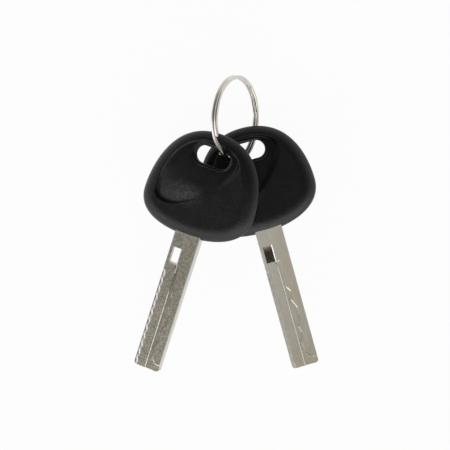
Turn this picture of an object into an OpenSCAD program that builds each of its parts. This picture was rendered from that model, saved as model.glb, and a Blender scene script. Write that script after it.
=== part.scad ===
// Pair of moulded-head ignition keys on a split ring, lying on a table.
// Millimetres. The table is z = 0, +Y points from the key tips to the ring, +Z points up.
// A key is drawn with its blade end of the head at the origin, the head along +Y and the blade along -Y.

/* [Key head] */
// Reach to the left of the blade's axis
head_left = 19.6; // [16:0.1:23]
// Reach to the right of the blade's axis
head_right = 19.2; // [16:0.1:23]
// Length from the blade end to the top
head_length = 34.3; // [31:0.1:42]
// Thickness between the faces
head_thickness = 6.4; // [5.6:0.1:8]
// Radius of the rounding from each face to the rim
rim_radius = 5; // [4:0.1:7]
// Dip of the bottom below the blade end
head_drop = 0.8; // [0.4:0.1:1.6]
// Height of the widest point on the left above the blade end
left_shoulder = 9.7; // [8:0.1:14]
// Height of the widest point on the right above the blade end
right_shoulder = 11.9; // [8:0.1:14]
// Reach of the outline curve along the bottom
bottom_reach = 5; // [4:0.1:9]
// Reach of the outline curve below the widest points
lower_reach = 10.7; // [8:0.1:12]
// Reach of the outline curve above the widest points
upper_reach = 7.3; // [6:0.1:10]
// Reach of the outline curve along the top
top_reach = 16.5; // [13:0.1:18]

/* [Ring hole] */
// Width of the hole
hole_width = 12.2; // [11:0.1:14]
// Height of the hole
hole_height = 5.8; // [5:0.1:7]
// Plastic left between the hole and the top of the head
hole_rim = 4.95; // [4:0.05:6]
// Length of the straight wall at mid thickness
hole_land = 1.6; // [0.8:0.1:3]
// Widening of the hole towards each face
hole_flare = 0.7; // [0.2:0.1:1]

/* [Thumb scoop] */
// Rim left between the scoop and the outline
scoop_margin = 4.55; // [3.5:0.05:5.5]
// Shift of the scoop towards the top
scoop_up = 2; // [1:0.05:2.5]
// Radius of the arc that bounds the scoop below
scoop_arc = 36; // [31:0.5:38]
// Centre of that arc left of the key's axis
scoop_arc_left = 21.4; // [18:0.1:24]
// Centre of that arc above the blade end
scoop_arc_up = 41.4; // [39:0.1:45]
// Radius of the scoop's corners
scoop_corner = 3; // [1:0.1:4]
// Depth at the ridge of the floor
scoop_depth = 0.3; // [0.2:0.05:0.8]
// Radius of the barrel-shaped floor
scoop_barrel = 90; // [70:1:140]
// Lean of the ridge across the head
scoop_lean = 25; // [10:1:40]
// Distance of the ridge from the blade end
scoop_ridge = 11.5; // [9:0.1:14]

/* [Blade] */
// Width
blade_width = 9; // [8:0.1:11]
// Thickness
blade_thickness = 3.2; // [2.6:0.1:3.8]
// Length outside the head
blade_length = 47; // [42:0.1:55]
// Bevel along the long edges
blade_bevel = 0.2; // [0.1:0.05:0.4]
// Radius of the tip's corners
tip_radius = 1; // [0.4:0.1:2]
// Full-width part sunk in the head
blade_sink = 1; // [0.8:0.1:2]
// Width of the tang
tang_width = 7; // [5:0.1:8]
// Length of the tang inside the head
tang_length = 8; // [6:0.1:9]
// Diameter of the anchor hole that the plastic fills
anchor_diameter = 2.8; // [2:0.1:4]

/* [Window slot] */
// Width of the slot
slot_width = 2.6; // [1.8:0.1:3]
// Length of the slot
slot_length = 5.6; // [3:0.1:7]
// Distance from the head to the slot
slot_drop = 5.3; // [3:0.1:8]
// Distance from the key's axis to the slot's middle
slot_side = 1.85; // [1.6:0.05:2.4]
// Widening of the slot towards the back
slot_lean = 0.5; // [0:0.05:0.6]
// Depth of the facet along the slot's inner edge
facet_depth = 0.4; // [0.2:0.05:0.6]
// Width of that facet at the slot's end
facet_width = 0.5; // [0.2:0.05:0.7]
// Length of that facet beyond the slot
facet_run = 2.4; // [1:0.1:4]

/* [Milled tracks] */
// Depth of the inner track
track_depth = 0.5; // [0.35:0.05:0.8]
// Height of the sloping lip along the inner track
track_lip = 0.18; // [0.1:0.02:0.3]
// Width of that lip
lip_width = 0.28; // [0.15:0.01:0.4]
// Draft of the inner track's walls
track_draft = 0.06; // [0.02:0.01:0.12]
// Width of the inner track at its start
track_start = 0.3; // [0.2:0.05:0.8]
// Distance of each cut of the inner track from the head
cut_places = [20, 21.7, 24.5, 27.5, 29.8, 33.8, 36, 38.7, 42.4]; // [0:0.1:60]
// Width of the inner track at each cut
cut_widths = [0.5, 1.5, 0.9, 2.2, 2.3, 1, 1.55, 0.65, 0.75]; // [0:0.05:3]
// Length of the lead-in ramp at the tip
lead_in = 2.2; // [1:0.1:4]
// Width of the inner track where the ramp starts
ramp_width = 2.4; // [1.5:0.1:3.5]
// Slant of the ramp towards the edge
ramp_slant = 0.4; // [0:0.1:1]
// Depth of the scalloped bevel along the edge
edge_depth = 0.4; // [0.2:0.05:0.6]
// Mean width of that bevel
edge_width = 1.15; // [0.8:0.05:1.6]
// Height of its scallops
edge_wave = 0.22; // [0.1:0.02:0.4]
// Length of one scallop
edge_pitch = 2.8; // [2:0.1:4]
// Distance from the head to the bevel
edge_drop = 12.4; // [10:0.1:16]

/* [Split ring] */
// Outside diameter
ring_diameter = 28.5; // [25:0.5:32]
// Radial width of the wire
wire_radial = 1.2; // [0.9:0.05:1.4]
// Axial height of one turn of wire
wire_axial = 0.96; // [0.7:0.02:1.3]
// Gap between the two turns
wire_gap = 0.06; // [0.04:0.01:0.12]
// Rounding cut off the wire's corners
wire_bevel = 0.2; // [0.1:0.05:0.3]
// Length of the crossover jog round the ring
jog_angle = 26; // [14:1:40]
// Place of the jog round the ring
jog_place = 221; // [0:1:360]
// Gap between a wire end and the jog
end_gap = 1; // [0.5:0.5:3]

/* [How it lies] */
// Place of the ring's centre across the table
ring_x = 3.02; // [-5:0.01:10]
// Place of the ring's centre along the table
ring_y = 34.18; // [25:0.01:45]
// Turn of the ring's plane up from the table
ring_turn = 60.3; // [50:0.1:70]
// Lean of the ring about its own level line
ring_lean = 4.1; // [0:0.1:6]
// Place on the ring where the rear key hangs
rear_place = -58.64; // [-66:0.01:-54]
// Wire between the two heads beyond one head's thickness
key_spread = 5.65; // [5:0.01:7]
// Wire's place in the rear hole, across and along from its middle
rear_wire = [-1.28, -1.29]; // [-3:0.01:3]
// Wire's place in the front hole, across and along from its middle
front_wire = [4.25, 1.05]; // [-5:0.01:5]
// Heading, head lift and roll of the rear key
rear_pose = [15.54, 3.63, 0]; // [-30:0.01:30]
// Heading, head lift and roll of the front key
front_pose = [-17.85, 9.72, 17.36]; // [-30:0.01:30]

/* [Hidden] */
$fn = 96;
quarter_steps = 16;
edge_steps = 8;
ring_steps = 48;
edge_radius = head_thickness / 2;
hole_centre = head_length - hole_rim - hole_height / 2;
hole_half = (hole_width - hole_height) / 2;
wire_radius = (ring_diameter - wire_radial) / 2;
wire_offset = (wire_axial + wire_gap) / 2;
ring_half_height = wire_axial + wire_gap / 2;
front_place = rear_place - (head_thickness + key_spread) / wire_radius * 180 / PI;
// The ring's two in-plane directions and its centre
ring_e = [cos(ring_turn), 0, -sin(ring_turn)];
ring_f = [sin(ring_lean) * sin(ring_turn), cos(ring_lean), sin(ring_lean) * cos(ring_turn)];
ring_axis = cross(ring_e, ring_f);
ring_rise = norm([ring_e[2], ring_f[2]]);
ring_z = max(ring_diameter / 2 * ring_rise + (ring_half_height - wire_bevel) * abs(ring_axis[2]),
             (ring_diameter / 2 - wire_bevel) * ring_rise + ring_half_height * abs(ring_axis[2]));
ring_centre = [ring_x, ring_y, ring_z];

// Points of the ring's wire
function wire_point(a) = ring_centre + wire_radius * (cos(a) * ring_e + sin(a) * ring_f);

// A cubic curve and its direction
function curve(p, t) = pow(1 - t, 3) * p[0] + 3 * pow(1 - t, 2) * t * p[1]
    + 3 * (1 - t) * t * t * p[2] + pow(t, 3) * p[3];
function slope(p, t) = pow(1 - t, 2) * (p[1] - p[0]) + 2 * (1 - t) * t * (p[2] - p[1]) + t * t * (p[3] - p[2]);

// One half of the head as two curves, from the blade end to the top
function lower_curve(reach, shoulder) = [[0, -head_drop], [bottom_reach, -head_drop],
    [reach, shoulder - lower_reach], [reach, shoulder]];
function upper_curve(reach, shoulder) = [[reach, shoulder], [reach, shoulder + upper_reach],
    [top_reach, head_length], [0, head_length]];

// A point of the outline moved in along its normal
function inset_point(p, t, inset) =
    let (d = slope(p, t) / norm(slope(p, t))) curve(p, t) + inset * [-d[1], d[0]];
function half_outline(reach, shoulder, inset) = concat(
    [for (i = [0 : quarter_steps - 1]) inset_point(lower_curve(reach, shoulder), i / quarter_steps, inset)],
    [for (i = [0 : quarter_steps]) inset_point(upper_curve(reach, shoulder), i / quarter_steps, inset)]);
function outline(inset) = let (right = half_outline(head_right, right_shoulder, inset),
    left = half_outline(head_left, left_shoulder, inset), last = len(left) - 1)
    concat(right, [for (i = [last - 1 : -1 : 1]) [-left[i][0], left[i][1]]]);

// Head blank: the outline with two roundings that meet at the parting line
module head_blank() {
    n = 4 * quarter_steps;
    sweep = acos(1 - edge_radius / rim_radius);
    rings = [for (k = [0 : edge_steps])
        let (s = 2 * k / edge_steps - 1, a = sweep * (1 - abs(s)), inset = rim_radius * (sin(sweep) - sin(a)),
            rise = sign(s) * (edge_radius - rim_radius * (1 - cos(a))))
        [for (p = outline(inset)) [p[0], p[1], rise]]];
    sides = [for (k = [0 : edge_steps - 1]) for (i = [0 : n - 1]) for (half = [0, 1])
        let (j = (i + 1) % n, a = k * n + i, b = k * n + j, c = a + n, d = b + n)
        half == 0 ? [a, c, b] : [b, c, d]];
    polyhedron([for (r = rings) each r],
        concat(sides, [[for (i = [0 : n - 1]) i]], [[for (i = [n - 1 : -1 : 0]) edge_steps * n + i]]), convexity = 4);
}

// Outline of the ring hole, grown by an amount
module hole_outline(grow) {
    r = hole_height / 2 + grow;
    translate([0, hole_centre]) {
        for (s = [-1, 1]) translate([s * hole_half, 0]) circle(r);
        square([2 * hole_half, 2 * r], center = true);
    }
}

// Widening of the hole from the straight wall to one face
module hole_flare_cut() {
    r = hole_height / 2;
    translate([0, hole_centre, hole_land / 2]) {
        for (s = [-1, 1]) translate([s * hole_half, 0, 0]) cylinder(h = hole_flare, r1 = r, r2 = r + hole_flare);
        translate([-hole_half, 0, 0]) rotate([90, 0, 90]) linear_extrude(2 * hole_half)
            polygon([[-r, 0], [r, 0], [r + hole_flare, hole_flare], [-r - hole_flare, hole_flare]]);
    }
    translate([0, 0, hole_land / 2 + hole_flare]) linear_extrude(head_thickness) hole_outline(hole_flare);
}

// Leaf-shaped outline of the thumb scoop
module scoop_outline() {
    offset(r = scoop_corner, $fn = 40) offset(delta = -scoop_corner) intersection() {
        translate([0, scoop_up]) polygon(outline(scoop_margin));
        translate([-scoop_arc_left, scoop_arc_up]) circle(scoop_arc);
    }
}

// Thumb scoop with a barrel-shaped floor
module scoop() {
    difference() {
        linear_extrude(head_thickness) scoop_outline();
        rotate([0, 0, -scoop_lean]) translate([0, scoop_ridge, edge_radius - scoop_depth - scoop_barrel])
            rotate([0, 90, 0]) cylinder(r = scoop_barrel, h = 3 * (head_left + head_right), center = true, $fn = 240);
    }
}

// Moulded head
module head() {
    difference() {
        head_blank();
        translate([0, 0, -head_thickness]) linear_extrude(2 * head_thickness) hole_outline(0);
        for (turn = [0, 180]) rotate([0, turn, 0]) {
            hole_flare_cut();
            scoop();
        }
        blade_blank();
    }
}

// Plan of the blade with its tang
module blade_plan() {
    r = tip_radius;
    translate([-blade_width / 2, r - blade_length]) square([blade_width, blade_length + blade_sink - r]);
    translate([r - blade_width / 2, -blade_length]) square([blade_width - 2 * r, 2 * r]);
    for (s = [-1, 1]) translate([s * (blade_width / 2 - r), r - blade_length]) circle(r);
    translate([-tang_width / 2, 0]) square([tang_width, tang_length]);
}

// Cross-section of the blade
module blade_section() {
    x = blade_width / 2;
    y = blade_thickness / 2;
    b = blade_bevel;
    polygon([[-x, b - y], [b - x, -y], [x - b, -y], [x, b - y], [x, y - b], [x - b, y], [b - x, y], [-x, y - b]]);
}

// Blade before milling, with the anchor hole in its tang
module blade_blank() {
    difference() {
        intersection() {
            translate([0, 0, -blade_thickness]) linear_extrude(2 * blade_thickness) blade_plan();
            translate([0, tang_length, 0]) rotate([90, 0, 0]) linear_extrude(blade_length + tang_length + 1)
                blade_section();
        }
        translate([0, (blade_sink + tang_length) / 2, -blade_thickness])
            cylinder(d = anchor_diameter, h = 2 * blade_thickness, $fn = 48);
    }
}

// A cutter through levels, each its height and an outline that goes up the right side and down the left
module cutter(levels) {
    n = len(levels[0][0]);
    top = len(levels) - 1;
    sides = [for (k = [0 : top - 1]) for (i = [0 : n - 1]) for (half = [0, 1])
        let (j = (i + 1) % n, a = k * n + i, b = k * n + j, c = a + n, d = b + n)
        half == 0 ? [a, c, b] : [b, c, d]];
    rungs = [for (i = [0 : n / 2 - 2]) [i, i + 1, n - 2 - i, n - 1 - i]];
    polyhedron([for (l = levels) for (p = l[0]) [p[0], p[1], l[1]]],
        concat(sides, rungs, [for (r = rungs) [for (k = [3 : -1 : 0]) top * n + r[k]]]), convexity = 8);
}

// An outline between a straight left side and the given points, from the tip up
function beside(left, points) = concat(points, [for (i = [len(points) - 1 : -1 : 0]) [left, points[i][1]]]);

// Inner track, wider by a run on both sides: straight along the axis, wavy beside it, open at the tip
function track_outline(run) = let (start = -slot_drop - slot_length, ramp = lead_in - blade_length)
    beside(-run, concat([[blade_width, -blade_length - 1], [blade_width, ramp - ramp_slant + run],
        [ramp_width + run, ramp + run]],
        [for (i = [len(cut_places) - 1 : -1 : 0]) [cut_widths[i] + run, -cut_places[i]]],
        [[track_start + run, start]]));

// Line along the edge that the scalloped bevel runs out to at one height
function edge_outline(reach) = let (waves = floor((blade_length - edge_drop) / edge_pitch))
    beside(-blade_width, concat([[reach, -blade_length - 1]],
        [for (i = [2 * waves - 1 : -1 : 0])
            [reach + (i % 2 == 0 ? -edge_wave : edge_wave), -edge_drop - (i + 1) / 2 * edge_pitch]],
        [[-blade_width / 2 - edge_wave, -edge_drop]]));

// Slot's outline, with its outer side moved out
function slot_outline(lean) = let (right = slot_width / 2 - slot_side)
    beside(-slot_side - slot_width / 2 - lean, [[right, -slot_drop - slot_length], [right, -slot_drop]]);

// Facet along the slot's inner edge, from the slot's top to a point on the axis
function facet_outline(run) = let (right = slot_width / 2 - slot_side, bottom = -slot_drop - slot_length)
    [[right + run, bottom - facet_run], [right + run / 5, -slot_drop], [right - facet_width, -slot_drop],
     [right - facet_width, bottom]];

// Milled blade, the same from both faces
module blade() {
    face = blade_thickness / 2;
    edge = -blade_width / 2;
    difference() {
        blade_blank();
        cutter([[slot_outline(slot_lean), -blade_thickness], [slot_outline(0), blade_thickness]]);
        cutter([[facet_outline(0), face - facet_depth], [facet_outline(2 * facet_width), face + facet_depth]]);
        for (turn = [0, 180]) rotate([0, turn, 0]) {
            cutter([[track_outline(0), face - track_depth], [track_outline(track_draft), face - track_lip],
                    [track_outline(track_draft + 2 * lip_width), face + track_lip]]);
            cutter([[edge_outline(edge - edge_width), face - 2 * edge_depth],
                    [edge_outline(edge + 2 * edge_width), face + edge_depth]]);
        }
    }
}

// Section of the wire, clockwise from its inner side: radius and height
function wire_section() = let (x = wire_radial / 2, y = wire_axial / 2, b = wire_bevel)
    [[-x, b - y], [-x, y - b], [b - x, y], [x - b, y], [x, y - b], [x, b - y], [x - b, -y], [b - x, -y]];

// Height of the wire along its two turns, with the jog in the middle
function wire_height(a) = let (t = min(1, max(0, (a - 360 + jog_angle / 2) / jog_angle)))
    wire_offset * (2 * t * t * (3 - 2 * t) - 1);

// Ring of two turns swept along one wire
module split_ring_shape() {
    first = jog_angle / 2 + end_gap;
    last = 720 - first;
    count = 2 * ring_steps;
    section = wire_section();
    n = len(section);
    points = [for (i = [0 : count]) let (a = first + (last - first) * i / count) for (s = section)
        [(wire_radius + s[0]) * cos(a), (wire_radius + s[0]) * sin(a), wire_height(a) + s[1]]];
    sides = [for (i = [0 : count - 1]) for (k = [0 : n - 1]) for (half = [0, 1])
        let (j = (k + 1) % n, a = i * n + k, b = i * n + j, c = a + n, d = b + n)
        half == 0 ? [a, b, c] : [b, d, c]];
    polyhedron(points, concat(sides, [[for (k = [n - 1 : -1 : 0]) k]], [[for (k = [0 : n - 1]) count * n + k]]),
        convexity = 8);
}

// Puts a key on the wire: its hole's middle, moved by wire, comes to the given place on the ring
module hang(place, wire, pose) {
    translate(wire_point(place)) rotate([0, 0, pose[0]]) rotate([pose[1], 0, 0]) rotate([0, -pose[2], 0])
        translate([-wire[0], -hole_centre - wire[1], 0]) children();
}

module split_ring() {
    color([0.78, 0.78, 0.8]) translate(ring_centre) rotate([0, ring_turn, 0]) rotate([ring_lean, 0, 0])
        rotate([0, 0, jog_place]) split_ring_shape();
}

module front_head() {
    color([0.09, 0.09, 0.1]) hang(front_place, front_wire, front_pose) head();
}

module front_blade() {
    color([0.62, 0.6, 0.56]) hang(front_place, front_wire, front_pose) blade();
}

module rear_head() {
    color([0.09, 0.09, 0.1]) hang(rear_place, rear_wire, rear_pose) head();
}

module rear_blade() {
    color([0.66, 0.64, 0.59]) hang(rear_place, rear_wire, rear_pose) blade();
}

split_ring();
front_head();
front_blade();
rear_head();
rear_blade();
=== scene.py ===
import math

import bmesh
import bpy
import numpy as np
from mathutils import Matrix, Vector


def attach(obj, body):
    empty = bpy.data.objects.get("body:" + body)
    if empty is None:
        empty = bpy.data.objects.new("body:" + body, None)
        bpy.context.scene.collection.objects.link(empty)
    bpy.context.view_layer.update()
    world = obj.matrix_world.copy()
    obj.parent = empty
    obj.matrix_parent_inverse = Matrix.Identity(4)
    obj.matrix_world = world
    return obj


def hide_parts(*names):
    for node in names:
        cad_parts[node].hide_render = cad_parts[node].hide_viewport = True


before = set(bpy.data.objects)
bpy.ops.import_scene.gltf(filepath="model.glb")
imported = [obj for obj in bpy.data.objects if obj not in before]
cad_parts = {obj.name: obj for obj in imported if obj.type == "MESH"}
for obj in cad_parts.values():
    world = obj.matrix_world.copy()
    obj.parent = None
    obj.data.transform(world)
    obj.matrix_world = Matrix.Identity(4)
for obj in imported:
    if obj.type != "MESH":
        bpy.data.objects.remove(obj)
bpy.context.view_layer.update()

# Lengths are in millimetres and angles in degrees unless a comment says otherwise
MM = 0.001

# Head of a key: u runs across it, v from blade to ring, w out of its face
HEAD_LEFT = 19.6
HEAD_RIGHT = 19.2
HEAD_LENGTH = 34.3
HEAD_THICKNESS = 6.4
EDGE_RADIUS = HEAD_THICKNESS / 2
RIM_RADIUS = 5.0
HEAD_DROP = 0.8
LEFT_SHOULDER = 9.7
RIGHT_SHOULDER = 11.9
BOTTOM_REACH = 5.0
LOWER_REACH = 10.7
UPPER_REACH = 7.3
TOP_REACH = 16.5
HOLE_HALF = 3.2
HOLE_RADIUS = 2.9
HOLE_CENTRE = 26.45
HOLE_LAND = 1.6
HOLE_FLARE = 0.7
SCOOP_MARGIN = 4.55
SCOOP_UP = 2.0
SCOOP_ARC = 36.0
SCOOP_ARC_CENTRE = (-21.4, 41.4)
SCOOP_CORNER = 3.0
SCOOP_DEPTH = 0.3
SCOOP_BARREL = 90.0
SCOOP_LEAN = 25.0
SCOOP_RIDGE = 11.5

# Soft forms of the head that the solid leaves out; a fade runs from its first place to its second
RIM_GROW = 0.15
RIM_CREASE = 0.3
HOLE_ROUND = 0.5
DIP_DEPTH = 0.6
DIP_REACH = 6.0
DIP_LIMIT = 1.2
DIP_ACROSS = (3.0, -5.0)
DIP_ALONG = (20.0, 12.0)
SOFT_ACROSS = (-4.0, 5.0)
SOFT_ALONG = (29.0, 24.0)
LEAF_SMOOTHING = 6
# Values of the scoop's edge where it is crisp, and what full softness adds to them
WALL_SLOPE = (0.35, 0.5)
FLOOR_ROUND = (0.3, 0.7)
LIP_ROUND = (0.16, 0.5)

# Mesh of the head: grid, room round it, and how its points are pulled onto the surface
NET_STEP = 0.18
NET_MARGIN = np.array([0.6, 0.6, 0.5])
PULL_ROUNDS = 4
PULL_REACH = 0.02
PULL_LIMIT = 0.2
LEAST_SLOPE = 0.2

# Blade; the slot's lean and the facet's depth and top differ from the solid, for the highlights
BLADE_WIDTH = 9.0
BLADE_THICKNESS = 3.2
BLADE_LENGTH = 47.0
BLADE_BEVEL = 0.2
TIP_RADIUS = 1.0
TIP_STEPS = 6
BLADE_SINK = 1.0
TANG_WIDTH = 7.0
TANG_LENGTH = 8.0
SLOT_LEFT = -3.15
SLOT_RIGHT = -0.55
SLOT_TOP = -5.3
SLOT_BOTTOM = -10.9
SLOT_LEAN = 1.1
FACET_DEPTH = 0.2
FACET_WIDTH = 0.5
FACET_RUN = 2.4
FACET_TOP = 0.6
TRACK_DEPTH = 0.5
TRACK_LIP = 0.18
LIP_WIDTH = 0.28
TRACK_DRAFT = 0.06
TRACK_START = 0.3
CUTS = [(20, 0.5), (21.7, 1.5), (24.5, 0.9), (27.5, 2.2), (29.8, 2.3), (33.8, 1.0), (36, 1.55),
        (38.7, 0.65), (42.4, 0.75)]
LEAD_IN = 2.2
RAMP_WIDTH = 2.4
RAMP_SLANT = 0.4
EDGE_DEPTH = 0.4
EDGE_WIDTH = 1.15
EDGE_WAVE = 0.22
EDGE_PITCH = 2.8
EDGE_DROP = 12.4
FINE_BEVEL = 0.05
FINE_SEGMENTS = 2
FINE_ANGLE = 25.0
# How far cutting tools pass the blade, and how far its plan is wider than its bar
CLEAR = 1.0
PLAN_SLACK = 0.05

# Dark film across the rear slot: painted shade for the shadowed table seen through it
FILM_GRID = (9, 15)
FILM_OVER = 0.25
FILM_SEAT = 0.05
FILM_TOP = 0.55
FILM_SAG = 0.5
FILM_BASE = -0.4

# Ring, and how the keys hang on it
RING_DIAMETER = 28.5
WIRE_RADIAL = 1.2
WIRE_AXIAL = 0.96
WIRE_GAP = 0.06
WIRE_ROUND = 0.3
ROUND_STEPS = 4
WIRE_STATIONS = 360
# Rounding of the wire's ends: degrees past the end and the section's scale there
WIRE_ENDS = ((0.18, 0.55), (0.09, 0.85))
SOLID_BEVEL = 0.2
JOG_ANGLE = 26.0
JOG_PLACE = 221.0
END_GAP = 1.0
RING_CENTRE = (3.02, 34.18)
RING_TURN = 60.3
RING_LEAN = 4.1
REAR_PLACE = -58.64
KEY_SPREAD = 5.65
REAR_WIRE = (-1.28, -1.29)
FRONT_WIRE = (4.25, 1.05)
REAR_POSE = (15.54, 3.63, 0.0)
FRONT_POSE = (-17.85, 9.72, 17.36)


# Placement


def turn(angle, axis):
    """Rotation matrix for an angle about a main axis."""
    return Matrix.Rotation(math.radians(angle), 4, axis)


def ring_height():
    """Height of the centre of the solid's ring when it touches the plane that the part rests on."""
    half = WIRE_AXIAL + WIRE_GAP / 2
    frame_turn = turn(RING_TURN, "Y") @ turn(RING_LEAN, "X")
    rise = math.hypot(frame_turn[2][0], frame_turn[2][1])
    lean = abs(frame_turn[2][2])
    radius = RING_DIAMETER / 2
    return max(radius * rise + (half - SOLID_BEVEL) * lean, (radius - SOLID_BEVEL) * rise + half * lean)


RING_MATRIX = (Matrix.Translation((RING_CENTRE[0], RING_CENTRE[1], ring_height()))
               @ turn(RING_TURN, "Y") @ turn(RING_LEAN, "X"))
WIRE_RADIUS = (RING_DIAMETER - WIRE_RADIAL) / 2


def hang(place, wire, pose):
    """Matrix of a key that hangs on the ring's wire at the given place."""
    a = math.radians(place)
    point = RING_MATRIX @ Vector((WIRE_RADIUS * math.cos(a), WIRE_RADIUS * math.sin(a), 0))
    return (Matrix.Translation(point) @ turn(pose[0], "Z") @ turn(pose[1], "X") @ turn(-pose[2], "Y")
            @ Matrix.Translation((-wire[0], -HOLE_CENTRE - wire[1], 0)))


FRONT_PLACE = REAR_PLACE - math.degrees((HEAD_THICKNESS + KEY_SPREAD) / WIRE_RADIUS)
FRONT_MATRIX = hang(FRONT_PLACE, FRONT_WIRE, FRONT_POSE)
REAR_MATRIX = hang(REAR_PLACE, REAR_WIRE, REAR_POSE)


# Objects and meshes


def in_metres(matrix):
    """The matrix for a mesh in metres of a placement in millimetres."""
    result = matrix.copy()
    result.translation = matrix.translation * MM
    return result


def add_object(name, data):
    """A new object in the scene."""
    obj = bpy.data.objects.new(name, data)
    bpy.context.scene.collection.objects.link(obj)
    return obj


def object_from(name, mesh, matrix):
    """A piece of the part at a placement in millimetres."""
    obj = add_object(name, mesh)
    obj.matrix_world = in_metres(matrix)
    return obj


def mesh_from(name, points, faces):
    """A smooth mesh in metres from points in millimetres."""
    mesh = bpy.data.meshes.new(name)
    mesh.from_pydata([tuple(p) for p in np.asarray(points) * MM], [], faces)
    mesh.update()
    mesh.polygons.foreach_set("use_smooth", [True] * len(mesh.polygons))
    return mesh


def face_outward(mesh):
    """Turns the normals of a closed mesh outward."""
    made = bmesh.new()
    made.from_mesh(mesh)
    bmesh.ops.recalc_face_normals(made, faces=made.faces)
    made.to_mesh(mesh)
    made.free()


# Moulded head: a signed distance field turned into a mesh


def cubic(p, t):
    """Points of a cubic curve with four control points."""
    p = np.asarray(p, float)
    t = np.asarray(t)[:, None]
    return (1 - t) ** 3 * p[0] + 3 * (1 - t) ** 2 * t * p[1] + 3 * (1 - t) * t * t * p[2] + t ** 3 * p[3]


def half_outline(reach, shoulder, steps=70):
    """One half of the head's outline, from the blade end to the top."""
    t = np.linspace(0, 1, steps, endpoint=False)
    side = (reach, shoulder)
    lower = cubic([(0, -HEAD_DROP), (BOTTOM_REACH, -HEAD_DROP), (reach, shoulder - LOWER_REACH), side], t)
    upper = cubic([side, (reach, shoulder + UPPER_REACH), (TOP_REACH, HEAD_LENGTH), (0, HEAD_LENGTH)], t)
    return np.vstack([lower, upper, [[0, HEAD_LENGTH]]])


def head_outline():
    """The head's closed outline."""
    left = half_outline(HEAD_LEFT, LEFT_SHOULDER)[-2:0:-1] * [-1, 1]
    return np.vstack([half_outline(HEAD_RIGHT, RIGHT_SHOULDER), left])


def polygon_distance(outline, u, v):
    """Signed distance to a closed outline, negative inside."""
    best = np.full(u.shape, np.inf)
    inside = np.zeros(u.shape, bool)
    for a, b in zip(outline, np.roll(outline, -1, axis=0)):
        d = b - a
        pu, pv = u - a[0], v - a[1]
        t = np.clip((pu * d[0] + pv * d[1]) / (d @ d), 0, 1)
        best = np.minimum(best, (pu - t * d[0]) ** 2 + (pv - t * d[1]) ** 2)
        if a[1] != b[1]:
            crosses = (a[1] > v) != (b[1] > v)
            inside ^= crosses & (pu < d[0] * (v - a[1]) / d[1])
    return np.where(inside, -1, 1) * np.sqrt(best)


class Plane2D:
    """A field kept on a fine grid over the key's plane and read between the grid's points."""

    STEP = 0.1
    LOW = np.array([-21.0, -2.0])
    COUNT = (421, 386)
    # Keeps the upper neighbour of a place inside the grid
    LAST = 1.001

    def __init__(self, values):
        self.values = values

    @classmethod
    def grid(cls):
        """The places of the grid's points."""
        u = cls.LOW[0] + cls.STEP * np.arange(cls.COUNT[0])
        v = cls.LOW[1] + cls.STEP * np.arange(cls.COUNT[1])
        return np.meshgrid(u, v, indexing="ij")

    def __call__(self, u, v):
        x = np.clip((u - self.LOW[0]) / self.STEP, 0, self.COUNT[0] - self.LAST)
        y = np.clip((v - self.LOW[1]) / self.STEP, 0, self.COUNT[1] - self.LAST)
        i, j = x.astype(int), y.astype(int)
        fx, fy = x - i, y - j
        g = self.values
        return ((g[i, j] * (1 - fx) + g[i + 1, j] * fx) * (1 - fy)
                + (g[i, j + 1] * (1 - fx) + g[i + 1, j + 1] * fx) * fy)


def smooth_max(a, b, radius):
    """The larger of two distances, with the crease between them rounded."""
    return np.maximum(a, b) + np.maximum(radius - np.abs(a - b), 0) ** 2 / (4 * radius)


def smoothed(values, times):
    """A grid of values, averaged with its neighbours a number of times."""
    for _ in range(times):
        values = values.copy()
        values[1:-1] = (values[:-2] + 2 * values[1:-1] + values[2:]) / 4
        values[:, 1:-1] = (values[:, :-2] + 2 * values[:, 1:-1] + values[:, 2:]) / 4
    return values


def head_fields():
    """Distance to the head's outline and to the thumb scoop's outline."""
    u, v = Plane2D.grid()
    outer = polygon_distance(head_outline(), u, v)
    shifted = Plane2D(outer)(u, v - SCOOP_UP) + SCOOP_MARGIN
    arc = np.hypot(u - SCOOP_ARC_CENTRE[0], v - SCOOP_ARC_CENTRE[1]) - SCOOP_ARC
    leaf = smooth_max(shifted, arc, SCOOP_CORNER)
    return Plane2D(outer), Plane2D(smoothed(leaf, LEAF_SMOOTHING))


def eased(value, start, end):
    """A smooth step from 0 at start to 1 at end."""
    t = np.clip((value - start) / (end - start), 0, 1)
    return t * t * (3 - 2 * t)


def softened(values, soft):
    """A value of the scoop's edge at a softness from 0 to 1."""
    crisp, added = values
    return crisp + added * soft


def scoop_distance(leaf, u, v, w):
    """Signed distance to the scoop in the face at positive w, and how soft its edge is.

    The edge is crisp on the left and at the top, and soft at the lower right.
    """
    soft = eased(u, *SOFT_ACROSS) * eased(v, *SOFT_ALONG)
    slope = softened(WALL_SLOPE, soft)
    lean = math.radians(SCOOP_LEAN)
    s = u * math.sin(lean) + v * math.cos(lean) - SCOOP_RIDGE
    rim = leaf(u, v)
    dip = DIP_DEPTH * np.clip(1 + rim / DIP_REACH, 0, DIP_LIMIT) ** 2
    dip = dip * eased(u, *DIP_ACROSS) * eased(v, *DIP_ALONG)
    floor = EDGE_RADIUS - SCOOP_DEPTH - (SCOOP_BARREL - np.sqrt(SCOOP_BARREL ** 2 - s ** 2)) - dip
    wall = (rim + (EDGE_RADIUS - w) * slope) / np.hypot(1, slope)
    return smooth_max(wall, floor - w, softened(FLOOR_ROUND, soft)), soft


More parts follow.
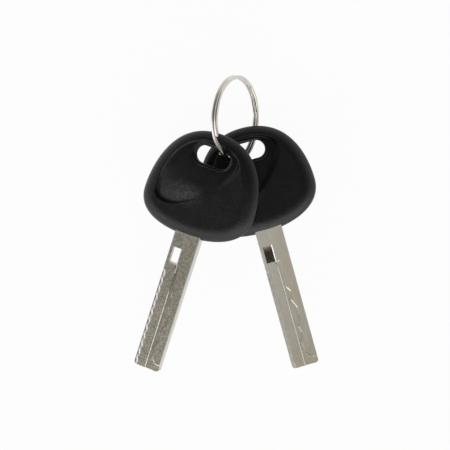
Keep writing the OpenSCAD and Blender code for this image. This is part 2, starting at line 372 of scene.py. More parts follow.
def head_distance(fields, u, v, w):
    """Signed distance to the moulded head."""
    outer, leaf = fields
    low = RIM_RADIUS - EDGE_RADIUS
    inward = np.maximum(outer(u, v) - RIM_GROW + math.sqrt(RIM_RADIUS ** 2 - low ** 2), 0)
    faces = [np.hypot(inward, np.maximum(low + side * w, 0)) for side in (1, -1)]
    body = smooth_max(*faces, RIM_CREASE) - RIM_RADIUS
    for side in (1, -1):
        scoop, soft = scoop_distance(leaf, side * u, v, side * w)
        body = smooth_max(body, -scoop, softened(LIP_ROUND, soft))
    hole = np.hypot(np.maximum(np.abs(u) - HOLE_HALF, 0), v - HOLE_CENTRE) - HOLE_RADIUS
    flare = np.clip(np.abs(w) - HOLE_LAND / 2, 0, HOLE_FLARE)
    return smooth_max(body, flare - hole, HOLE_ROUND)


def net_points(field):
    """Numbers of the grid cells that the field's zero level passes, and a point in each, in cells."""
    cells = tuple(n - 1 for n in field.shape)
    total = np.zeros(cells + (3,))
    count = np.zeros(cells)
    for axis in range(3):
        for pair in ((0, 0), (0, 1), (1, 0), (1, 1)):
            start, end = np.insert(pair, axis, 0), np.insert(pair, axis, 1)
            near, far = [tuple(slice(o, o + n) for o, n in zip(at, cells)) for at in (start, end)]
            f0, f1 = field[near], field[far]
            hit = (f0 < 0) != (f1 < 0)
            t = np.where(hit, f0 / np.where(hit, f0 - f1, 1), 0)
            for k in range(3):
                total[..., k] += np.where(hit, (t if k == axis else start[k]), 0)
            count += hit
    used = count > 0
    number = np.full(cells, -1)
    number[used] = np.arange(used.sum())
    return number, np.argwhere(used) + total[used] / count[used][:, None]


def net_quads(field, number):
    """Quads between the numbered cells round every grid edge that the zero level crosses."""
    quads = []
    for axis in range(3):
        b, c = (axis + 1) % 3, (axis + 2) % 3
        lower, upper = [slice(None)] * 3, [slice(None)] * 3
        lower[axis], upper[axis] = slice(0, -1), slice(1, None)
        f0, f1 = field[tuple(lower)], field[tuple(upper)]
        edge = np.argwhere((f0 < 0) != (f1 < 0))
        for k in (b, c):
            edge = edge[(edge[:, k] > 0) & (edge[:, k] < field.shape[k] - 1)]
        corners = []
        for db, dc in ((-1, -1), (0, -1), (0, 0), (-1, 0)):
            cell = edge.copy()
            cell[:, b] += db
            cell[:, c] += dc
            corners.append(number[tuple(cell.T)])
        quad = np.stack(corners, axis=1)
        flip = f0[tuple(edge.T)] > 0
        quad[flip] = quad[flip][:, ::-1]
        quads.append(quad)
    return np.vstack(quads)


def head_slope(fields, points):
    """Gradient of the distance to the head."""
    columns = []
    for axis in np.eye(3):
        ahead = head_distance(fields, *(points + PULL_REACH * axis).T)
        behind = head_distance(fields, *(points - PULL_REACH * axis).T)
        columns.append((ahead - behind) / (2 * PULL_REACH))
    return np.stack(columns, axis=1)


def head_mesh():
    """The moulded head with rounded edges, scoops and ring hole."""
    low = np.array([-HEAD_LEFT, -HEAD_DROP, -EDGE_RADIUS]) - NET_MARGIN
    high = np.array([HEAD_RIGHT, HEAD_LENGTH, EDGE_RADIUS]) + NET_MARGIN
    count = np.ceil((high - low) / NET_STEP).astype(int) + 1
    axes = [low[k] + NET_STEP * np.arange(count[k]) for k in range(3)]
    fields = head_fields()
    u, v = np.meshgrid(axes[0], axes[1], indexing="ij")
    field = np.stack([head_distance(fields, u, v, np.full(u.shape, w)) for w in axes[2]], axis=2)
    number, cells = net_points(field)
    points = low + NET_STEP * cells
    for _ in range(PULL_ROUNDS):
        value = head_distance(fields, *points.T)
        slope = head_slope(fields, points)
        square = np.maximum((slope ** 2).sum(1), LEAST_SLOPE)
        points = points - np.clip(value / square, -PULL_LIMIT, PULL_LIMIT)[:, None] * slope
    return mesh_from("key_head", points, net_quads(field, number).tolist())


# Milled blade: prisms joined by booleans, then fine bevels


# Material slots of a blade
FACE, CUT, SIDE, EDGE = range(4)


def loft(name, levels, marks=()):
    """A solid through levels, each an outline and its height, in millimetres.

    A mark gives one band of sides a material slot: the band, the slot, and its sides or None for all.
    """
    n = len(levels[0][0])
    top = len(levels) - 1
    points = [(x, y, z) for outline, z in levels for x, y in outline]
    faces = [list(range(n))[::-1], [top * n + i for i in range(n)]]
    faces += [[k * n + i, k * n + (i + 1) % n, (k + 1) * n + (i + 1) % n, (k + 1) * n + i]
              for k in range(top) for i in range(n)]
    mesh = bpy.data.meshes.new(name)
    mesh.from_pydata(points, [], faces)
    for _ in (FACE, CUT, SIDE, EDGE):
        mesh.materials.append(None)
    for band, slot, sides in marks:
        for i in sides or range(n):
            mesh.polygons[2 + band * n + i].material_index = slot
    face_outward(mesh)
    return add_object(name, mesh)


def bake(obj):
    """Replaces an object's mesh by the result of its modifiers."""
    depsgraph = bpy.context.evaluated_depsgraph_get()
    mesh = bpy.data.meshes.new_from_object(obj.evaluated_get(depsgraph))
    obj.modifiers.clear()
    obj.data = mesh


def combine(base, tool, operation):
    """Joins a tool to a base by a boolean and removes the tool."""
    modifier = base.modifiers.new(operation, "BOOLEAN")
    modifier.operation = operation
    modifier.solver = "EXACT"
    modifier.object = tool
    bake(base)
    bpy.data.objects.remove(tool)


def tip_corner(side):
    """Rounded corner of the tip: the right one for side 1, the left one for side -1."""
    cu, cv = side * (BLADE_WIDTH / 2 - TIP_RADIUS), TIP_RADIUS - BLADE_LENGTH
    arc = [math.radians(90 * k / TIP_STEPS) for k in range(TIP_STEPS + 1)]
    points = [(cu + side * TIP_RADIUS * math.cos(a), cv - TIP_RADIUS * math.sin(a)) for a in arc]
    return points if side > 0 else points[::-1]


def blade_blank():
    """The blade before milling: a bar with bevelled edges, a rounded tip and the tang."""
    half, t, b = BLADE_WIDTH / 2, BLADE_THICKNESS / 2, BLADE_BEVEL
    wide, tang = half + PLAN_SLACK, TANG_WIDTH / 2
    plan = [(wide, BLADE_SINK)] + tip_corner(1) + tip_corner(-1) + [(-wide, BLADE_SINK)]
    plan += [(-tang, BLADE_SINK), (-tang, TANG_LENGTH), (tang, TANG_LENGTH), (tang, BLADE_SINK)]
    blank = loft("blank", [(plan, -2 * t), (plan, 2 * t)])
    section = [(-half, b - t), (b - half, -t), (half - b, -t), (half, b - t), (half, t - b), (half - b, t),
               (b - half, t), (-half, t - b)]
    flats = (1, 5)
    walls = [i for i in range(len(section)) if i not in flats]
    ends = [(section, -TANG_LENGTH - CLEAR), (section, BLADE_LENGTH + CLEAR)]
    bar = loft("bar", ends, [(0, SIDE, walls)])
    bar.data.transform(Matrix.Rotation(math.pi / 2, 4, "X"))
    combine(blank, bar, "INTERSECT")
    return blank


def track_outline(run):
    """The inner track, wider by run: straight along the axis, wavy beside it, open at the tip."""
    ramp = LEAD_IN - BLADE_LENGTH
    wavy = [(width + run, -place) for place, width in CUTS]
    return ([(-run, SLOT_BOTTOM), (TRACK_START + run, SLOT_BOTTOM)] + wavy
            + [(RAMP_WIDTH + run, ramp + run), (BLADE_WIDTH, ramp - RAMP_SLANT + run),
               (BLADE_WIDTH, -BLADE_LENGTH - CLEAR), (-run, -BLADE_LENGTH - CLEAR)])


def edge_outline(reach):
    """The line along the left edge that the scalloped bevel runs out to."""
    waves = int((BLADE_LENGTH - EDGE_DROP) / EDGE_PITCH)
    points = [(-BLADE_WIDTH, -EDGE_DROP), (-BLADE_WIDTH / 2 - EDGE_WAVE, -EDGE_DROP)]
    for i in range(2 * waves):
        wave = EDGE_WAVE if i % 2 else -EDGE_WAVE
        points.append((reach + wave, -EDGE_DROP - (i + 1) / 2 * EDGE_PITCH))
    return points + [(reach, -BLADE_LENGTH - CLEAR), (-BLADE_WIDTH, -BLADE_LENGTH - CLEAR)]


def slot_outline(lean):
    """The window slot, with its left side moved out by lean."""
    return [(SLOT_LEFT - lean, SLOT_BOTTOM), (SLOT_RIGHT, SLOT_BOTTOM), (SLOT_RIGHT, SLOT_TOP),
            (SLOT_LEFT - lean, SLOT_TOP)]


def facet_outline(run):
    """The facet along the slot's inner edge, from the slot's top to a point below the slot."""
    inner = SLOT_RIGHT - FACET_WIDTH
    return [(inner, SLOT_BOTTOM), (SLOT_RIGHT + run, SLOT_BOTTOM - FACET_RUN),
            (SLOT_RIGHT + run * FACET_TOP, SLOT_TOP), (inner, SLOT_TOP)]


def blade_mesh():
    """The milled blade with its slot, tracks and fine bevels."""
    face = BLADE_THICKNESS / 2
    edge = -BLADE_WIDTH / 2
    blade = blade_blank()
    slot = loft("slot", [(slot_outline(SLOT_LEAN), -2 * face), (slot_outline(0), 2 * face)])
    combine(blade, slot, "DIFFERENCE")
    facet = loft("facet", [(facet_outline(0), face - FACET_DEPTH),
                           (facet_outline(2 * FACET_WIDTH), face + FACET_DEPTH)], [(0, CUT, None)])
    combine(blade, facet, "DIFFERENCE")
    for angle in (0, 180):
        track = loft("track", [(track_outline(0), face - TRACK_DEPTH),
                               (track_outline(TRACK_DRAFT), face - TRACK_LIP),
                               (track_outline(TRACK_DRAFT + 2 * LIP_WIDTH), face + TRACK_LIP)],
                     [(1, CUT, None)])
        bevel = loft("bevel", [(edge_outline(edge - EDGE_WIDTH), face - 2 * EDGE_DEPTH),
                               (edge_outline(edge + 2 * EDGE_WIDTH), face + EDGE_DEPTH)],
                     [(0, EDGE, None)])
        for tool in (track, bevel):
            tool.data.transform(turn(angle, "Y"))
            combine(blade, tool, "DIFFERENCE")
    fine = blade.modifiers.new("bevel", "BEVEL")
    fine.width = FINE_BEVEL
    fine.segments = FINE_SEGMENTS
    fine.limit_method = "ANGLE"
    fine.angle_limit = math.radians(FINE_ANGLE)
    bake(blade)
    mesh = blade.data
    mesh.transform(Matrix.Scale(MM, 4))
    mesh.name = "key_blade"
    bpy.data.objects.remove(blade)
    return mesh


def slot_shade_mesh():
    """A dark film across the slot, sunk below the face: painted shade for the shadowed table under the
    slot.
    """
    n, rows = FILM_GRID
    across = np.linspace(SLOT_LEFT - FILM_OVER, SLOT_RIGHT + FILM_SEAT, n)
    along = np.linspace(SLOT_BOTTOM - FILM_SEAT, SLOT_TOP + FILM_SEAT, rows)
    points = []
    for level, sag in ((FILM_TOP, FILM_SAG), (FILM_BASE, 0.0)):
        for v in along:
            for u in across:
                a = 2 * (u - across[0]) / (across[-1] - across[0]) - 1
                b = 2 * (v - along[0]) / (along[-1] - along[0]) - 1
                points.append((u, v, level - sag * (1 - a * a) * (1 - b ** 4)))
    half = n * rows
    grid = [(j * n + i, j * n + i + 1, (j + 1) * n + i + 1, (j + 1) * n + i)
            for j in range(rows - 1) for i in range(n - 1)]
    loop = (list(range(n)) + [j * n + n - 1 for j in range(1, rows)] + [half - 1 - i for i in range(1, n)]
            + [j * n for j in range(rows - 2, 0, -1)])
    faces = grid + [tuple(half + k for k in reversed(quad)) for quad in grid]
    faces += [(a, half + a, half + b, b) for a, b in zip(loop, loop[1:] + loop[:1])]
    return mesh_from("slot_shade_film", points, faces)


# Split ring: one wire of two turns


def wire_section():
    """Rounded section of the wire: radius and height."""
    x, y, r = WIRE_RADIAL / 2 - WIRE_ROUND, WIRE_AXIAL / 2 - WIRE_ROUND, WIRE_ROUND
    points = []
    for cx, cy, start in ((x, y, 0), (-x, y, 90), (-x, -y, 180), (x, -y, 270)):
        for k in range(ROUND_STEPS + 1):
            a = math.radians(start + 90 * k / ROUND_STEPS)
            points.append((cx + r * math.cos(a), cy + r * math.sin(a)))
    return points


def ring_mesh():
    """The wire, with a jog from the lower turn to the upper one and rounded ends."""
    first = JOG_ANGLE / 2 + END_GAP
    last = 720 - first
    offset = (WIRE_AXIAL + WIRE_GAP) / 2
    section = wire_section()
    n = len(section)
    stations = [(first - past, scale) for past, scale in WIRE_ENDS]
    stations += [(first + (last - first) * i / WIRE_STATIONS, 1.0) for i in range(WIRE_STATIONS + 1)]
    stations += [(last + past, scale) for past, scale in reversed(WIRE_ENDS)]
    points = []
    for angle, scale in stations:
        t = min(1, max(0, (angle - 360 + JOG_ANGLE / 2) / JOG_ANGLE))
        height = offset * (2 * t * t * (3 - 2 * t) - 1)
        a = math.radians(angle + JOG_PLACE)
        for x, y in section:
            r = WIRE_RADIUS + scale * x
            points.append((r * math.cos(a), r * math.sin(a), height + scale * y))
    faces = []
    for i in range(len(stations) - 1):
        for k in range(n):
            j = (k + 1) % n
            faces.append((i * n + k, (i + 1) * n + k, (i + 1) * n + j, i * n + j))
    faces.append(tuple(range(n)))
    top = (len(stations) - 1) * n
    faces.append(tuple(range(top + n - 1, top - 1, -1)))
    mesh = mesh_from("ring_wire", points, faces)
    face_outward(mesh)
    return mesh


# Materials


# Usual range of a noise, and the range over which a normal turns from one side to the other
NOISE = (0.3, 0.7)
TURNING = (-0.05, 0.05)


class Nodes:
    """A node tree under construction; its inputs take numbers, colours or outputs of other nodes."""

    def __init__(self, tree):
        self.nodes = tree.nodes
        self.links = tree.links

    def add(self, kind, **values):
        """A new node with its settings."""
        node = self.nodes.new(kind)
        for key, value in values.items():
            setattr(node, key, value)
        return node

    def fill(self, socket, value):
        """Links an output to a socket, or sets the socket's own value."""
        if hasattr(value, "is_linked"):
            self.links.new(value, socket)
        elif socket.type == "RGBA":
            socket.default_value = (*value, 1)
        else:
            socket.default_value = value

    def axes(self, vector):
        """The three parts of a vector."""
        node = self.add("ShaderNodeSeparateXYZ")
        self.fill(node.inputs[0], vector)
        return node.outputs[:]

    def measure(self, operation, vector, other):
        """A number from two vectors, such as their product or distance."""
        node = self.add("ShaderNodeVectorMath", operation=operation)
        self.fill(node.inputs[0], vector)
        self.fill(node.inputs[1], other)
        return node.outputs["Value"]

    def ramp(self, source, stops):
        """Colours along a value from 0 to 1."""
        node = self.add("ShaderNodeValToRGB")
        elements = node.color_ramp.elements
        while len(elements) < len(stops):
            elements.new(0.5)
        for element, (position, colour) in zip(elements, stops):
            element.position = position
            element.color = (*colour, 1)
        self.fill(node.inputs["Fac"], source)
        return node.outputs["Color"]

    def span(self, source, low, high, to_low=0.0, to_high=1.0, curve="LINEAR"):
        """A value from low to high, carried over to another range."""
        node = self.add("ShaderNodeMapRange", interpolation_type=curve)
        for key, value in zip(("From Min", "From Max", "To Min", "To Max"), (low, high, to_low, to_high)):
            node.inputs[key].default_value = value
        self.fill(node.inputs["Value"], source)
        return node.outputs["Result"]

    def zone(self, source, low, high, to_low=0.0, to_high=1.0):
        """The same for a place on the piece, from low to high in millimetres."""
        return self.span(source, low * MM, high * MM, to_low, to_high)

    def math(self, operation, *values):
        """The result of a sum on numbers."""
        node = self.add("ShaderNodeMath", operation=operation)
        for socket, value in zip(node.inputs, values):
            self.fill(socket, value)
        return node.outputs["Value"]

    def mix(self, factor, first, second, blend="MIX"):
        """A mixture of two colours."""
        node = self.add("ShaderNodeMix", data_type="RGBA", blend_type=blend)
        for place, value in zip((0, 6, 7), (factor, first, second)):
            self.fill(node.inputs[place], value)
        return node.outputs[2]


class Material(Nodes):
    """A material under construction."""

    def __init__(self, name):
        self.material = bpy.data.materials.new(name)
        self.material.use_nodes = True
        super().__init__(self.material.node_tree)
        self.shader = self.nodes["Principled BSDF"]
        source = self.add("ShaderNodeTexCoord")
        self.place = source.outputs["Object"]
        self.facing = source.outputs["Normal"]

    def stretched(self, scale):
        """The place on the piece, scaled."""
        node = self.add("ShaderNodeMapping")
        self.fill(node.inputs["Scale"], scale)
        self.fill(node.inputs["Vector"], self.place)
        return node.outputs["Vector"]

    def noise(self, scale, detail, roughness, vector=None):
        """Noise with its scale per metre."""
        node = self.add("ShaderNodeTexNoise")
        self.fill(node.inputs["Scale"], scale)
        self.fill(node.inputs["Detail"], detail)
        self.fill(node.inputs["Roughness"], roughness)
        self.fill(node.inputs["Vector"], vector or self.place)
        return node.outputs["Fac"]

    def between(self, noise, low, high):
        """A number that varies with a noise."""
        return self.span(noise, *NOISE, low, high)

    def shades(self, noise, dark, light):
        """A colour that varies with a noise."""
        return self.ramp(noise, [(NOISE[0], dark), (NOISE[1], light)])

    def bump(self, height, strength, depth, after=None):
        """Normals of a fine relief, its depth in millimetres."""
        node = self.add("ShaderNodeBump")
        self.fill(node.inputs["Strength"], strength)
        self.fill(node.inputs["Distance"], depth * MM)
        self.fill(node.inputs["Height"], height)
        if after:
            self.fill(node.inputs["Normal"], after)
        return node.outputs["Normal"]

    def set(self, **values):
        """Fills the shader's sockets."""
        for key, value in values.items():
            self.fill(self.shader.inputs[key.replace("_", " ")], value)


# Centre of the painted highlight in the scoop, the distances over which it fades, and the scale that
# widens it
SCOOP_GLINT = (-5.6, HOLE_CENTRE - 13.9)
SCOOP_GLINT_FADE = (1.0, 4.6)
SCOOP_GLINT_ACROSS = 0.55


def plastic():
    """Grained black plastic, with a painted speckled highlight where the scoop's floor catches the light.
    """
    m = Material("moulded_black_plastic")
    grain = m.noise(1700, 3.0, 0.65)
    cloud = m.noise(420, 3.0, 0.6)
    colour = m.shades(cloud, (0.0012, 0.0012, 0.0013), (0.003, 0.003, 0.0031))
    spot = (SCOOP_GLINT_ACROSS * SCOOP_GLINT[0] * MM, SCOOP_GLINT[1] * MM, 0.0)
    glint_distance = m.measure("DISTANCE", m.stretched((SCOOP_GLINT_ACROSS, 1.0, 0.0)), spot)
    glint_speckle = m.span(m.noise(1300, 3.0, 0.6), 0.4, 0.62, 0.2, 1.0)
    patchy_highlight = m.math("MULTIPLY", m.zone(glint_distance, *SCOOP_GLINT_FADE, 1.0, 0.0), glint_speckle)
    # Painted highlight: paler speckles where the scoop's floor catches the light
    colour = m.mix(patchy_highlight, colour, (0.05, 0.05, 0.05))
    m.set(Base_Color=colour, Roughness=m.between(cloud, 0.3, 0.4), Normal=m.bump(grain, 1.0, 0.13),
          Specular_IOR_Level=0.3)
    return m.material


# Along a blade its tint changes from the tip to the head; the patch is on the upper right
TINT_FADE = (-BLADE_LENGTH, -4.0)
PATCH_ACROSS = (-1.0, 2.0)
PATCH_ALONG = (-34.0, -22.0)
PATCH_TINT = (1.0, 0.9, 0.78)


def nickel(name, dark, light, tarnish, grit, tip, patch=0.0):
    """Worn nickel of the faces.

    Grit is how strongly its fine specks show, tip its tint there and patch how warm its upper right is.
    """
    m = Material(name)
    speck = m.noise(2200, 3.0, 0.65)
    cloud = m.noise(160, 4.0, 0.6)
    brushed = m.noise(900, 3.0, 0.6, m.stretched((4.0, 0.25, 4.0)))
    contrast = 0.25 / grit
    base = m.mix(m.span(speck, 0.5 - contrast, 0.5 + contrast), dark, light)
    base = m.mix(m.span(cloud, 0.45, 0.75, 0.0, 0.55), base, tarnish, "MULTIPLY")
    x, y, _ = m.axes(m.place)
    base = m.mix(m.zone(y, *TINT_FADE, 1, 0), base, tip, "MULTIPLY")
    if patch:
        warm = m.math("MULTIPLY", m.zone(x, *PATCH_ACROSS, 0, patch), m.zone(y, *PATCH_ALONG))
        base = m.mix(warm, base, PATCH_TINT, "MULTIPLY")
    normal = m.bump(brushed, 0.2, 0.02)
    normal = m.bump(speck, 0.3 * grit, 0.03, normal)
    m.set(Base_Color=base, Roughness=m.between(brushed, 0.3, 0.42), Normal=normal, Metallic=1.0)
    return m.material


# Fades of the painted highlight along the milled lips: at the lead-in, the wavy part's start, the slot's
# lower end and highlight_to
RAMP_FADE = (-42.6, -41.8)
WAVE_FADE = (-19.5, -20.5)
SLOT_FADE = (-11.3, -11.0)
BRIGHT_FADE = 0.6
# Ranges of the normal along the blade, and the share of the plain colour that is left as painted shade on
# faces turned toward the tip
TIPWARD = (-0.05, -0.3)
SHADED_PLAIN_FADE = (-0.15, 0.0)
SHADED_PLAIN_SHARE = 0.3


def lit_cut_nickel(name, plain, dark, light, highlight_to, ramp):
    """Milled lips with painted highlights where they face the tip, along the axis and beside the slot, and
    painted shade on plain lips that face the tip.

    From the slot the axis has a painted highlight as far as highlight_to, and ramp is how strong the
    painted highlight on the lead-in at the tip is.
    """
    m = Material(name)
    lines = m.noise(1400, 3.0, 0.6, m.stretched((1.0, 3.0, 1.0)))
    _, y, _ = m.axes(m.place)
    nx, ny, _ = m.axes(m.facing)
    axis = m.span(nx, *TURNING)
    wavy = m.math("MULTIPLY", m.span(ny, *TIPWARD), m.zone(y, *RAMP_FADE, ramp, 1))
    # Painted highlight on the lips, chosen by the way they face
    facing_highlight = m.math("MULTIPLY", m.math("MAXIMUM", axis, wavy), m.zone(y, *WAVE_FADE))
    patchy_highlight = m.math("MULTIPLY", facing_highlight, m.span(lines, 0.38, 0.5, 0.35, 1))
    lead = m.math("MULTIPLY", axis, m.zone(y, highlight_to - BRIGHT_FADE, highlight_to))
    upper = m.math("MAXIMUM", m.zone(y, *SLOT_FADE), lead)
    shine = m.math("MAXIMUM", patchy_highlight, upper)
    # Painted shade: plain lips that turn toward the tip are darkened
    shaded_plain = m.mix(m.span(ny, *SHADED_PLAIN_FADE), tuple(SHADED_PLAIN_SHARE * c for c in plain), plain)
    base = m.mix(shine, shaded_plain, m.shades(lines, dark, light))
    m.set(Base_Color=base, Roughness=m.between(lines, 0.3, 0.5), Normal=m.bump(lines, 0.3, 0.02),
          Metallic=1.0)
    return m.material


# Range of tilt over which a side wall turns into its chamfer
CHAMFER_TILT = (0.2, 0.5)


def side_nickel(name, chamfer, dark, light):
    """Ground side walls, with a duller chamfer along each face."""
    m = Material(name)
    lines = m.noise(800, 3.0, 0.6, m.stretched((1.0, 0.2, 4.0)))
    _, _, nz = m.axes(m.facing)
    tilt = m.span(m.math("ABSOLUTE", nz), *CHAMFER_TILT)
    base = m.mix(tilt, m.shades(lines, dark, light), chamfer)
    m.set(Base_Color=base, Roughness=m.between(lines, 0.3, 0.45), Metallic=1.0)
    return m.material


# Heights over which the paler line along the coded edge comes in, and how far it wanders
LINE_FADE = (1.28, 1.42)
LINE_WANDER = 0.05


def edge_nickel(name, strip, painted_shade, line=None):
    """Bevel along the coded edge: painted shade where its scallops face the tip, and a paler line near the
    face if given.
    """
    m = Material(name)
    wear = m.noise(700, 3.0, 0.6)
    _, ny, _ = m.axes(m.facing)
    # Painted shade: scallops that face the tip get the darker colour
    base = m.mix(m.span(ny, *TURNING), painted_shade, strip)
    if line:
        _, _, z = m.axes(m.place)
        level = m.math("ADD", m.math("ABSOLUTE", z), m.between(wear, -LINE_WANDER * MM, LINE_WANDER * MM))
        base = m.mix(m.zone(level, *LINE_FADE), base, line)
    m.set(Base_Color=base, Roughness=m.between(wear, 0.42, 0.55), Metallic=1.0)
    return m.material


# Places along the film, and its painted shade from its lower end to its upper end
FILM_FADE = (-11.1, -5.2)
SLOT_SHADE_COLOURS = [(0.0, (0.3, 0.27, 0.22)), (0.25, (0.1, 0.08, 0.06)), (0.55, (0.05, 0.039, 0.029)),
                (0.75, (0.1, 0.082, 0.06)), (1.0, (0.4, 0.365, 0.31))]


def painted_slot_shade():
    """Painted shade in the slot, darkest in its middle and paler toward its ends."""
    m = Material("slot_painted_shade")
    grain = m.noise(1500, 3.0, 0.6)
    _, y, _ = m.axes(m.place)
    along = m.math("ADD", m.zone(y, *FILM_FADE), m.between(grain, -0.08, 0.08))
    m.set(Base_Color=m.ramp(along, SLOT_SHADE_COLOURS), Roughness=m.between(grain, 0.55, 0.75),
          Normal=m.bump(grain, 0.5, 0.05), Specular_IOR_Level=0.2)
    return m.material


# Places along the scene's Y axis, from the ring's centre, over which the painted shade on the ring ends
RING_SHADE_FADE = (-10.0, -2.0)
RING_SHADE = (0.1, 0.095, 0.085)


def ring_steel():
    """Polished spring steel, with painted shade on the side of the ring that hangs in the keys."""
    m = Material("ring_spring_steel")
    scratch = m.noise(500, 4.0, 0.6, m.stretched((1.0, 1.0, 9.0)))
    cloud = m.noise(240, 3.0, 0.6)
    base = m.shades(cloud, (0.56, 0.53, 0.48), (0.72, 0.69, 0.64))
    level = m.measure("DOT_PRODUCT", m.place, RING_MATRIX.to_3x3().transposed() @ Vector((0, 1, 0)))
    # Painted shade: the wire darkens where it hangs in the keys' holes
    base = m.mix(m.zone(level, *RING_SHADE_FADE, 0.94, 0.0), base, RING_SHADE)
    m.set(Base_Color=base, Roughness=m.between(scratch, 0.14, 0.22), Normal=m.bump(scratch, 0.04, 0.02),
          Metallic=1.0)
    return m.material


# Colours of the two blades, in the order of their slots: faces, cuts, sides and coded edge; the keys are
# alike, and their nickel comes as a darker copy for the front, painted shade where it tilts away from the
# bright sky, and a lighter copy for the rear, painted light
FRONT_SHADED_FINISH = (
    dict(dark=(0.29, 0.267, 0.218), light=(0.62, 0.58, 0.49), tarnish=(0.9, 0.86, 0.76), grit=1.7,
         tip=(1.0, 0.99, 0.97)),
    dict(plain=(0.2, 0.19, 0.16), dark=(0.6, 0.58, 0.53), light=(0.8, 0.79, 0.75), highlight_to=-13.2,
         ramp=1),
    dict(chamfer=(0.3, 0.29, 0.27), dark=(0.58, 0.565, 0.535), light=(0.68, 0.665, 0.63)),
    dict(strip=(0.24, 0.23, 0.205), painted_shade=(0.12, 0.116, 0.105), line=(0.66, 0.64, 0.6)),
)
REAR_LIT_FINISH = (
    dict(dark=(0.88, 0.845, 0.75), light=(0.97, 0.935, 0.84), tarnish=(0.95, 0.9, 0.8), grit=0.6,
         tip=(0.72, 0.69, 0.62), patch=0.35),
    dict(plain=(0.3, 0.285, 0.255), dark=(0.75, 0.73, 0.68), light=(0.95, 0.94, 0.91), highlight_to=-20.5,
         ramp=0),
    dict(chamfer=(0.4, 0.39, 0.36), dark=(0.8, 0.79, 0.77), light=(0.92, 0.91, 0.89)),
    dict(strip=(0.58, 0.555, 0.49), painted_shade=(0.35, 0.335, 0.295)),
)


def blade_finish(key, finish):
    """The four materials of a key's blade."""
    makers = (("nickel", nickel), ("cuts", lit_cut_nickel), ("sides", side_nickel), ("edge", edge_nickel))
    return [make(f"{key}_blade_{part}", **values) for (part, make), values in zip(makers, finish)]


def give(obj, *materials):
    """Fills the mesh's material slots in order."""
    slots = obj.data.materials
    for i, material in enumerate(materials):
        if i < len(slots):
            slots[i] = material
        else:
            slots.append(material)


# The pieces

head_data = head_mesh()
blade_data = blade_mesh()
head_data.materials.append(plastic())

front_head = object_from("front_key_head", head_data, FRONT_MATRIX)
rear_head = object_from("rear_key_head", head_data.copy(), REAR_MATRIX)
front_blade = object_from("front_key_blade", blade_data, FRONT_MATRIX)
rear_blade = object_from("rear_key_blade", blade_data.copy(), REAR_MATRIX)
ring = object_from("split_ring_wire", ring_mesh(), RING_MATRIX)
# A dark film in the rear slot: painted shade, not a part of the key
slot_shade = object_from("rear_slot_painted_shade", slot_shade_mesh(), REAR_MATRIX)

give(front_blade, *blade_finish("front", FRONT_SHADED_FINISH))
give(rear_blade, *blade_finish("rear", REAR_LIT_FINISH))
give(slot_shade, painted_slot_shade())
give(ring, ring_steel())

for piece, body, node, slot in ((front_head, "front_key", "front_head", "head_plastic"),
                                (rear_head, "rear_key", "rear_head", "head_plastic"),
                                (front_blade, "front_key", "front_blade", "blade_metal"),
                                (rear_blade, "rear_key", "rear_blade", "blade_metal"),
                                (ring, "ring", "split_ring", "ring_steel")):
    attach(piece, body)
    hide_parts(node)
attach(slot_shade, "rear_key")


# Floor

# The table lies just below the lowest point that the front blade reaches in its swing
FLOOR = -6.5 * MM
# Half of the table's side, in metres
FLOOR_HALF = 3
FLOOR_COLOUR = (0.86, 0.86, 0.86)
FLOOR_ROUGHNESS = 0.8
FLOOR_SPECULAR = 0.1
GLOW_SHARE = 0.95

floor_mesh = bpy.data.meshes.new("table")
sides = ((-1, -1), (1, -1), (1, 1), (-1, 1))
floor_mesh.from_pydata([(FLOOR_HALF * x, FLOOR_HALF * y, FLOOR) for x, y in sides], [], [(0, 1, 2, 3)])
floor = add_object("table", floor_mesh)

# Straight, mirrored and transmitted views of the table see it as nearly plain white
table = bpy.data.materials.new("white_table")
table.use_nodes = True
white = Nodes(table.node_tree)
surface = white.nodes["Principled BSDF"]
white.fill(surface.inputs["Base Color"], FLOOR_COLOUR)
white.fill(surface.inputs["Roughness"], FLOOR_ROUGHNESS)
white.fill(surface.inputs["Specular IOR Level"], FLOOR_SPECULAR)
glow = white.add("ShaderNodeEmission")
white.fill(glow.inputs["Color"], (1, 1, 1))
white.fill(glow.inputs["Strength"], 1.0)
path = white.add("ShaderNodeLightPath")
seen = path.outputs["Is Camera Ray"]
for ray in ("Is Glossy Ray", "Is Transmission Ray"):
    seen = white.math("MAXIMUM", seen, path.outputs[ray])
blend = white.add("ShaderNodeMixShader")
white.fill(blend.inputs["Fac"], white.math("MULTIPLY", seen, GLOW_SHARE))
white.fill(blend.inputs[1], surface.outputs[0])
white.fill(blend.inputs[2], glow.outputs[0])
white.fill(white.nodes["Material Output"].inputs["Surface"], blend.outputs[0])
floor_mesh.materials.append(table)


# Light

# Grey levels of the sky by height and from left to right, each place a direction's part from -1 to 1
SKY_HEIGHT = [(0.0, 1.3), (0.3, 1.25), (0.5, 0.7), (0.7, 0.33), (0.8, 0.3), (1.0, 0.4)]
SKY_ACROSS = [(-0.9, 1.1), (-0.55, 0.62), (0.0, 1.0), (0.4, 1.0), (0.8, 1.4)]
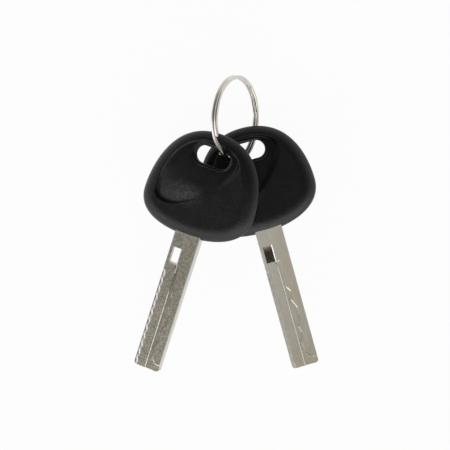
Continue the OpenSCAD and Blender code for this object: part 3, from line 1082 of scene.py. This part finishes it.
# The sky's bright side, the range over which it rises, and the sky's strength off it and on it
BRIGHT_SIDE = (-0.2, -0.98, 0)
BRIGHT_SPREAD = (0.0, 0.75)
BRIGHT_STRENGTH = (0.6, 2.4)
# The lamp's place, aim and size in metres, and its power in watts
LAMP_PLACE = Vector((-0.1, -0.8, 0.8))
LAMP_AIM = Vector((0, 0, 0.005))
LAMP_SIZE = (0.8, 0.4)
LAMP_POWER = 2.0

world = bpy.data.worlds.new("studio")
bpy.context.scene.world = world
world.use_nodes = True
sky = Nodes(world.node_tree)


def sky_levels(source, stops):
    """Grey levels along one direction of the sky, from -1 to 1."""
    return sky.ramp(sky.span(source, -1, 1), [((place + 1) / 2, (level,) * 3) for place, level in stops])


direction = sky.add("ShaderNodeTexCoord").outputs["Generated"]
right, _, up = sky.axes(direction)
backdrop = sky.nodes["Background"]
levels = sky.mix(1, sky_levels(up, SKY_HEIGHT), sky_levels(right, SKY_ACROSS), "MULTIPLY")
toward = sky.measure("DOT_PRODUCT", direction, BRIGHT_SIDE)
sky.fill(backdrop.inputs["Color"], levels)
sky.fill(backdrop.inputs["Strength"], sky.span(toward, *BRIGHT_SPREAD, *BRIGHT_STRENGTH, "SMOOTHSTEP"))

lamp = bpy.data.lights.new("low_box", "AREA")
lamp.shape = "RECTANGLE"
lamp.size, lamp.size_y = LAMP_SIZE
lamp.energy = LAMP_POWER
low_box = add_object("low_box", lamp)
low_box.location = LAMP_PLACE
low_box.rotation_euler = (LAMP_AIM - LAMP_PLACE).to_track_quat("-Z", "Y").to_euler()


# Camera

# The photograph's side and focal length in pixels, and the camera's place and near limit in metres
PHOTO_SIDE = 450
FOCAL_LENGTH = 1348.5
SENSOR_WIDTH = 36
EYE = (-0.00046, -0.00004, 0.45)
NEAR_LIMIT = 0.01

camera = bpy.data.cameras.new("camera")
camera.sensor_width = SENSOR_WIDTH
camera.lens = FOCAL_LENGTH / PHOTO_SIDE * SENSOR_WIDTH
camera.clip_start = NEAR_LIMIT
eye = add_object("camera", camera)
eye.location = EYE
bpy.context.scene.camera = eye
bpy.context.scene.view_settings.view_transform = "Standard"
